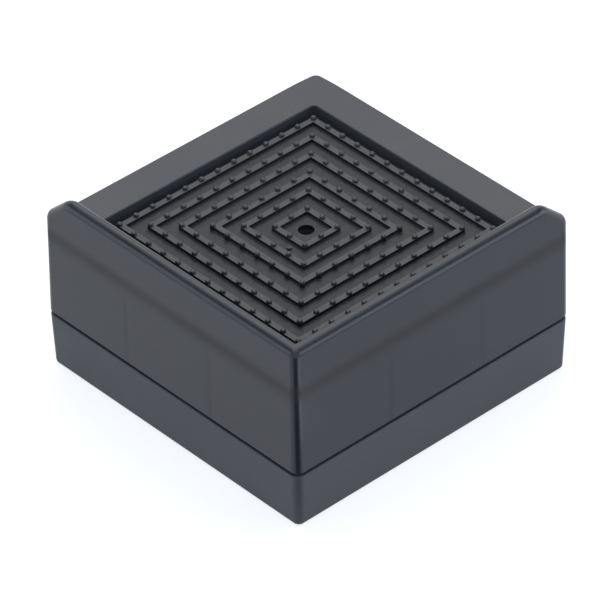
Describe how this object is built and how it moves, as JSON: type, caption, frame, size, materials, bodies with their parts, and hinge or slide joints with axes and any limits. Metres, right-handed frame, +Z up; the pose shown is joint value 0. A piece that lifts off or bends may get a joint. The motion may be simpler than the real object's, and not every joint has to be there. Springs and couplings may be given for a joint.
{
  "type": "bed riser",
  "caption": "Square block that lifts a furniture leg; an L of low walls keeps the leg on its gripping pad, and a rubber boot grips the floor.",
  "frame": {"origin": "centre of the footprint, on the floor", "axes": "+Z up; the two retaining walls stand on the +X and -Y sides"},
  "size_m": [0.1088, 0.1088, 0.0631],
  "materials": {
    "housing_plastic": "satin moulded black",
    "pad_rubber": "matte black",
    "boot_rubber": "matte black"
  },
  "bodies": {
    "root": {"housing": "housing_plastic", "grip_pad": "pad_rubber", "boot": "boot_rubber"}
  },
  "joints": []
}
